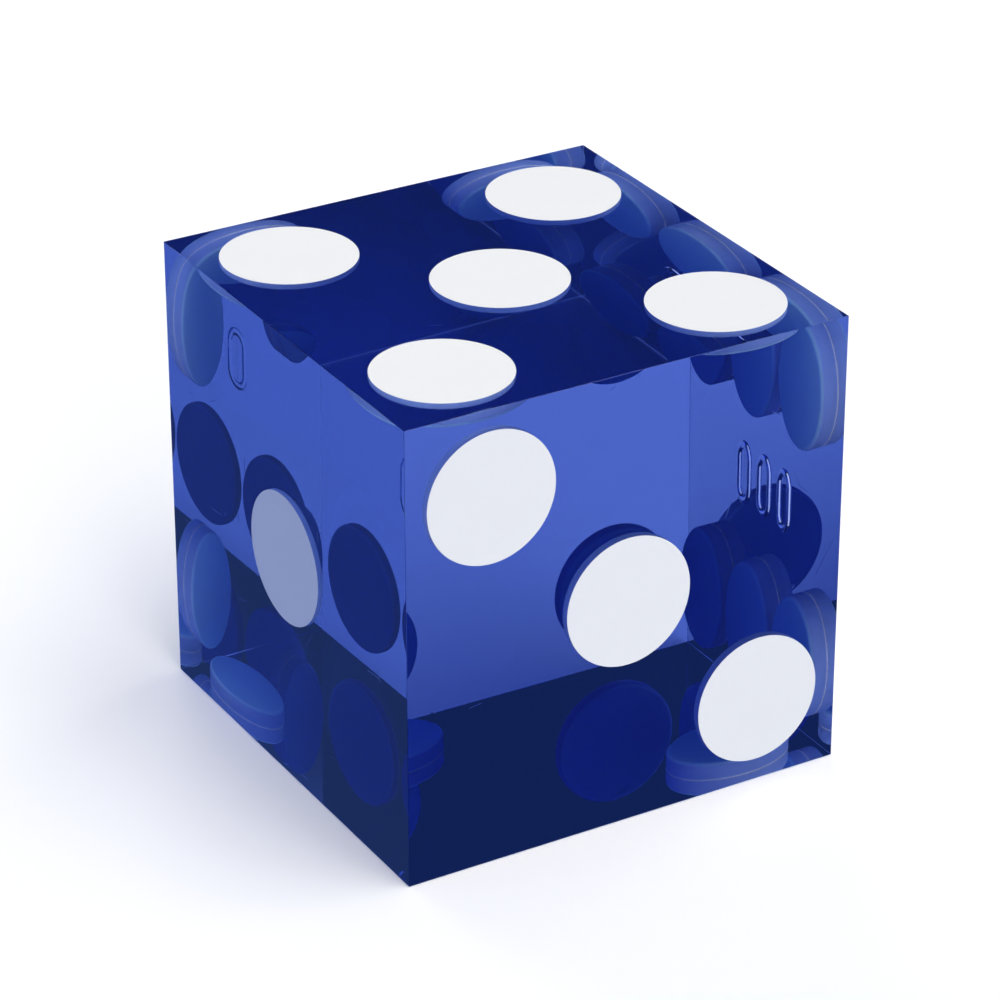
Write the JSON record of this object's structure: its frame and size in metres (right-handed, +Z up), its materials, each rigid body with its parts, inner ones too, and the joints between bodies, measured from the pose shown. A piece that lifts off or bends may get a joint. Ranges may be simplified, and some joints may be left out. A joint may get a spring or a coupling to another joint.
{
  "type": "casino die",
  "caption": "Transparent blue precision die with square edges and white pips set flush in blind holes, resting on one flat face.",
  "frame": {"origin": "middle of the face that the die rests on, which is the two", "axes": "+Z up, out of the five; -Y out of the three; +Y out of the four; -X out of the one; +X out of the six"},
  "size_m": [0.019, 0.019, 0.0191],
  "materials": {
    "body_acetate": "transparent deep blue, polished",
    "pip_filler": "opaque white, polished flush"
  },
  "bodies": {
    "root": {"body": "body_acetate", "one_pip_1": "pip_filler", "two_pip_1": "pip_filler", "two_pip_2": "pip_filler", "three_pip_1": "pip_filler", "three_pip_2": "pip_filler", "three_pip_3": "pip_filler", "four_pip_1": "pip_filler", "four_pip_2": "pip_filler", "four_pip_3": "pip_filler", "four_pip_4": "pip_filler", "five_pip_1": "pip_filler", "five_pip_2": "pip_filler", "five_pip_3": "pip_filler", "five_pip_4": "pip_filler", "five_pip_5": "pip_filler", "six_pip_1": "pip_filler", "six_pip_2": "pip_filler", "six_pip_3": "pip_filler", "six_pip_4": "pip_filler", "six_pip_5": "pip_filler", "six_pip_6": "pip_filler"}
  },
  "joints": []
}
